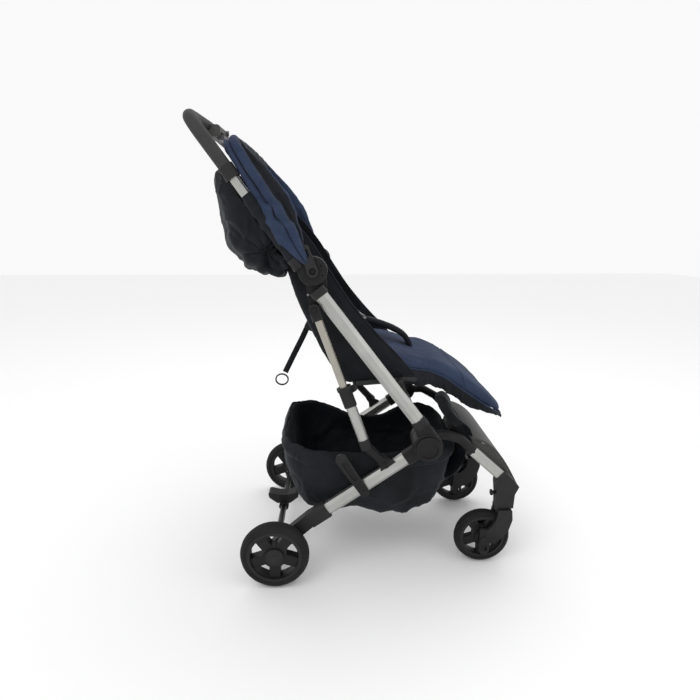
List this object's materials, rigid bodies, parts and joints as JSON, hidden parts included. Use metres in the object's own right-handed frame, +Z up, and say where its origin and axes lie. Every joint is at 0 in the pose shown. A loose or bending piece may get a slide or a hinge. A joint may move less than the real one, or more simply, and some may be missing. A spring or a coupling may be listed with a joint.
{
  "type": "baby stroller",
  "caption": "Compact folding stroller with a U handle, folded canopy, padded seat, under-seat basket, fixed rear wheels and swivelling front casters.",
  "frame": {"origin": "centre of the footprint on the ground, in the middle of the length and width", "axes": "+X forwards, +Y to the child's left, +Z up"},
  "size_m": [0.7484, 0.5, 1.056],
  "materials": {
    "silver": "satin anodised",
    "champagne": "satin anodised, warm",
    "black_plastic": "fine matte texture",
    "grey_plastic": "fine ribbed texture",
    "light_plastic": "satin",
    "steel": "plain",
    "black_metal": "satin black",
    "tyre": "matte foam rubber",
    "grip_leather": "fine grain",
    "navy_fabric": "melange weave",
    "black_fabric": "plain weave",
    "webbing": "ribbed webbing"
  },
  "bodies": {
    "main_frame": {"main_tube_right": "silver", "main_tube_left": "silver", "upper_hub_right": "black_plastic", "upper_hub_left": "black_plastic", "lower_hub_right": "black_plastic", "lower_hub_left": "black_plastic", "lower_hinge_shaft": "black_plastic", "frame_rivets": "steel", "basket": "black_fabric"},
    "strut_upper": {"strut_top_fittings": "black_plastic", "strut_inner_tubes": "champagne"},
    "strut_lower": {"strut_sleeves": "black_plastic", "strut_outer_tubes": "silver", "strut_boots": "black_plastic"},
    "rear_frame": {"rear_leg_right": "silver", "rear_leg_left": "silver", "rear_leg_sockets": "black_plastic", "rear_knuckles": "black_plastic", "strut_lugs": "black_plastic", "rear_axle": "black_metal"},
    "brake": {"brake_pedal": "black_plastic"},
    "latch": {"storage_latch": "black_plastic"},
    "rear_wheel_right": {"rear_rim_right": "black_plastic", "rear_tyre_right": "tyre"},
    "rear_wheel_left": {"rear_rim_left": "black_plastic", "rear_tyre_left": "tyre"},
    "front_frame": {"front_arm_right": "black_plastic", "front_arm_left": "black_plastic", "front_leg_tubes": "silver", "front_foot_right": "black_plastic", "front_foot_left": "black_plastic", "footrest_panel": "grey_plastic"},
    "caster_right": {"caster_fork_right": "black_plastic"},
    "caster_left": {"caster_fork_left": "black_plastic"},
    "front_wheel_right": {"front_rim_right": "black_plastic", "front_tyre_right": "tyre"},
    "front_wheel_left": {"front_rim_left": "black_plastic", "front_tyre_left": "tyre"},
    "swivel_pin_right": {"swivel_lock_right": "black_plastic"},
    "swivel_pin_left": {"swivel_lock_left": "black_plastic"},
    "handle": {"handle_tube": "silver", "handle_grip": "grip_leather", "fold_housing": "grey_plastic", "handle_collars": "black_plastic", "handle_hub_discs": "black_plastic", "rear_hood": "black_fabric"},
    "trigger": {"fold_trigger": "light_plastic"},
    "button": {"fold_button": "light_plastic"},
    "canopy": {"canopy_brackets": "black_plastic", "canopy_bow": "steel", "canopy_fabric": "navy_fabric"},
    "seat": {"seat_frame": "black_metal", "seat_pad": "navy_fabric", "crotch_strap": "webbing", "harness_buckle": "black_plastic"},
    "buckle_release": {"buckle_button": "light_plastic"},
    "backrest": {"backrest": "black_fabric", "recline_adjuster": "black_plastic", "recline_strap": "webbing"},
    "ring": {"pull_ring": "steel"}
  },
  "joints": [
    {"name": "frame_fold", "type": "hinge", "parent": "main_frame", "child": "rear_frame", "pos_m": [0.13168, 0, 0.346], "axis": [0, 1, 0], "range_deg": [0, 72], "deforming": ["basket", "seat_pad", "backrest", "crotch_strap", "canopy_fabric", "rear_hood"]},
    {"name": "front_frame_fold", "type": "hinge", "parent": "main_frame", "child": "front_frame", "pos_m": [0.13168, 0, 0.346], "axis": [0, 1, 0], "range_deg": [0, 148.01]},
    {"name": "handle_fold", "type": "hinge", "parent": "main_frame", "child": "handle", "pos_m": [-0.11582, 0, 0.732], "axis": [0, 1, 0], "range_deg": [0, 168.01]},
    {"name": "strut_tilt", "type": "hinge", "parent": "main_frame", "child": "strut_upper", "pos_m": [-0.11383, 0, 0.653], "axis": [0, 1, 0], "range_deg": [-12.77, 0]},
    {"name": "strut_slide", "type": "slide", "parent": "strut_upper", "child": "strut_lower", "axis": [-0.3355, 0, 0.9421], "range_m": [0, 0.09191]},
    {"name": "seat_fold", "type": "hinge", "parent": "main_frame", "child": "seat", "pos_m": [0.07517, 0, 0.47], "axis": [0, 1, 0], "range_deg": [0, 38.01]},
    {"name": "backrest_recline", "type": "hinge", "parent": "main_frame", "child": "backrest", "pos_m": [-0.04683, 0, 0.508], "axis": [0, 1, 0], "range_deg": [-35, 0]},
    {"name": "canopy_open", "type": "hinge", "parent": "handle", "child": "canopy", "pos_m": [-0.11582, 0, 0.732], "axis": [0, -1, 0], "range_deg": [-105, 0]},
    {"name": "rear_wheel_right_spin", "type": "hinge", "parent": "rear_frame", "child": "rear_wheel_right", "pos_m": [-0.21482, -0.229, 0.08], "axis": [0, 1, 0], "continuous": true},
    {"name": "rear_wheel_left_spin", "type": "hinge", "parent": "rear_frame", "child": "rear_wheel_left", "pos_m": [-0.21482, 0.229, 0.08], "axis": [0, 1, 0], "continuous": true},
    {"name": "caster_right_swivel", "type": "hinge", "parent": "front_frame", "child": "caster_right", "pos_m": [0.33918, -0.15, 0.15], "axis": [0, 0, 1], "continuous": true},
    {"name": "caster_left_swivel", "type": "hinge", "parent": "front_frame", "child": "caster_left", "pos_m": [0.33918, 0.15, 0.15], "axis": [0, 0, 1], "continuous": true},
    {"name": "front_wheel_right_spin", "type": "hinge", "parent": "caster_right", "child": "front_wheel_right", "pos_m": [0.29087, -0.1464, 0.0695], "axis": [0, 1, 0], "continuous": true},
    {"name": "front_wheel_left_spin", "type": "hinge", "parent": "caster_left", "child": "front_wheel_left", "pos_m": [0.29087, 0.1464, 0.0695], "axis": [0, 1, 0], "continuous": true},
    {"name": "swivel_lock_right_press", "type": "slide", "parent": "front_frame", "child": "swivel_pin_right", "axis": [1, 0, 0], "range_m": [0, 0.003]},
    {"name": "swivel_lock_left_press", "type": "slide", "parent": "front_frame", "child": "swivel_pin_left", "axis": [1, 0, 0], "range_m": [0, 0.003]},
    {"name": "brake_press", "type": "hinge", "parent": "rear_frame", "child": "brake", "pos_m": [-0.21482, 0, 0.08], "axis": [0, 1, 0], "range_deg": [0, 14]},
    {"name": "storage_latch_swing", "type": "hinge", "parent": "rear_frame", "child": "latch", "pos_m": [-0.00683, -0.215, 0.227], "axis": [0, -1, 0], "range_deg": [0, 40]},
    {"name": "fold_trigger_squeeze", "type": "slide", "parent": "handle", "child": "trigger", "axis": [0, 0, 1], "range_m": [0, 0.0045], "stiffness_N_per_m": 800, "springref_m": -0.001},
    {"name": "fold_button_press", "type": "slide", "parent": "handle", "child": "button", "axis": [-1, 0, 0], "range_m": [0, 0.003], "stiffness_N_per_m": 500, "springref_m": -0.001},
    {"name": "buckle_press", "type": "slide", "parent": "seat", "child": "buckle_release", "axis": [-0.4695, 0, -0.8829], "range_m": [0, 0.002], "stiffness_N_per_m": 500, "springref_m": -0.001},
    {"name": "pull_ring_swing", "type": "hinge", "parent": "backrest", "child": "ring", "pos_m": [-0.20332, 0, 0.4515], "axis": [0, 1, 0], "range_deg": [-60, 60]}
  ],
  "couplings": [
    {"joint": "front_frame_fold", "follows": "frame_fold", "ratio": 2.0556},
    {"joint": "handle_fold", "follows": "frame_fold", "ratio": 2.3333},
    {"joint": "strut_tilt", "follows": "frame_fold", "ratio": -0.17721},
    {"joint": "strut_slide", "follows": "frame_fold", "m_per_rad": 0.073101},
    {"joint": "seat_fold", "follows": "frame_fold", "ratio": 0.52778}
  ]
}
